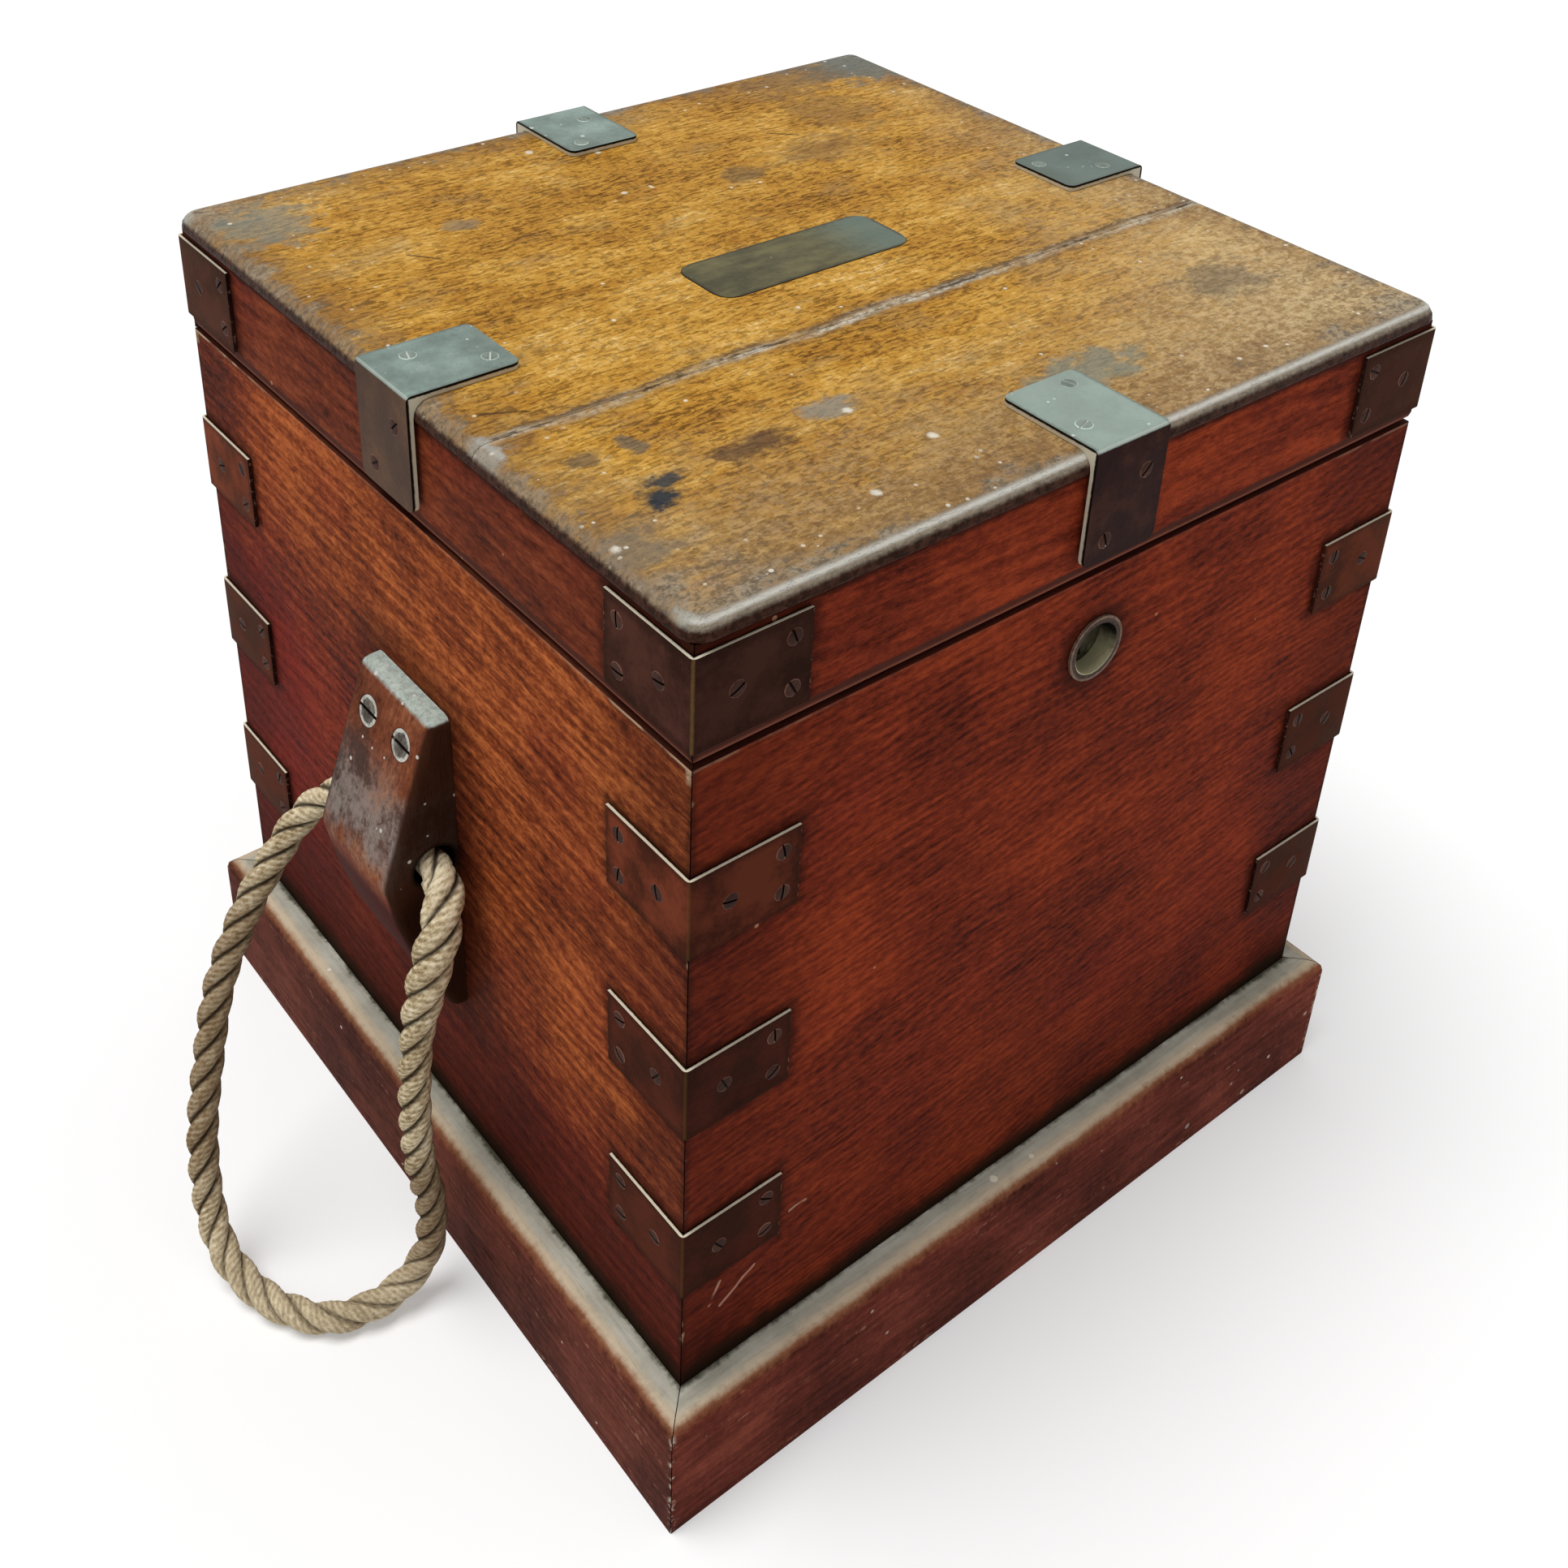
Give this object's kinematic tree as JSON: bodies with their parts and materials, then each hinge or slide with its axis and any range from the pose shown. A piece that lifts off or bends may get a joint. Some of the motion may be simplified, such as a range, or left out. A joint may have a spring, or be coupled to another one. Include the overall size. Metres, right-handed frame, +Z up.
{
  "type": "military chest",
  "caption": "Square wooden chest on a plinth with a hinged lid, brass corner brackets and straps, a lock behind a round escutcheon, and a rope becket handle on each side.",
  "frame": {"origin": "on the floor under the middle of the chest", "axes": "+Z up, -Y out of the front with the lock, +X to the right as seen from the front"},
  "size_m": [0.6842, 0.451, 0.4993],
  "materials": {
    "oak": "worn dark polish",
    "dark_oak": "worn dark polish",
    "top_oak": "worn bare wood",
    "brass": "aged and tarnished",
    "steel": "worn",
    "hemp": "laid rope"
  },
  "bodies": {
    "chest": {"back_panel": "oak", "becket_block_left": "dark_oak", "becket_block_right": "dark_oak", "becket_screw_left_front": "steel", "becket_screw_left_rear": "steel", "becket_screw_right_front": "steel", "becket_screw_right_rear": "steel", "body_bracket_back_left_bottom": "brass", "body_bracket_back_left_middle": "brass", "body_bracket_back_left_top": "brass", "body_bracket_back_right_bottom": "brass", "body_bracket_back_right_middle": "brass", "body_bracket_back_right_top": "brass", "body_bracket_front_left_bottom": "brass", "body_bracket_front_left_middle": "brass", "body_bracket_front_left_top": "brass", "body_bracket_front_right_bottom": "brass", "body_bracket_front_right_middle": "brass", "body_bracket_front_right_top": "brass", "bottom_board": "oak", "escutcheon_ring": "brass", "front_panel": "oak", "hinge_left_body_leaf": "brass", "hinge_left_pin": "steel", "hinge_right_body_leaf": "brass", "hinge_right_pin": "steel", "key_pin": "steel", "left_panel": "oak", "lock_case": "brass", "lock_cover": "brass", "plinth_back": "dark_oak", "plinth_front": "dark_oak", "plinth_left": "dark_oak", "plinth_right": "dark_oak", "right_panel": "oak"},
    "lid": {"lid_back_rail": "oak", "lid_bracket_back_left": "brass", "lid_bracket_back_right": "brass", "lid_bracket_front_left": "brass", "lid_bracket_front_right": "brass", "lid_front_rail": "oak", "lid_left_rail": "oak", "lid_link_plate": "brass", "lid_right_rail": "oak", "lid_strap_back": "brass", "lid_strap_front": "brass", "lid_strap_left": "brass", "lid_strap_right": "brass", "lid_top_back_board": "top_oak", "lid_top_front_board": "top_oak", "name_plate": "brass", "hinge_left_lid_leaf": "brass", "hinge_right_lid_leaf": "brass"},
    "left_becket": {"rope_handle_left": "hemp"},
    "right_becket": {"rope_handle_right": "hemp"},
    "bolt": {"lock_bolt": "steel", "lock_spring": "steel"}
  },
  "joints": [
    {"name": "lid_hinge", "type": "hinge", "parent": "chest", "child": "lid", "pos_m": [0, 0.213, 0.4322], "axis": [-1, 0, 0], "range_deg": [0, 95]},
    {"name": "left_rope_swing", "type": "hinge", "parent": "chest", "child": "left_becket", "pos_m": [-0.2275, 0, 0.261], "axis": [0, 1, 0], "range_deg": [0, 135]},
    {"name": "right_rope_swing", "type": "hinge", "parent": "chest", "child": "right_becket", "pos_m": [0.2275, 0, 0.261], "axis": [0, -1, 0], "range_deg": [0, 135]},
    {"name": "lock_bolt_slide", "type": "slide", "parent": "chest", "child": "bolt", "axis": [1, 0, 0], "range_m": [0, 0.007]}
  ]
}
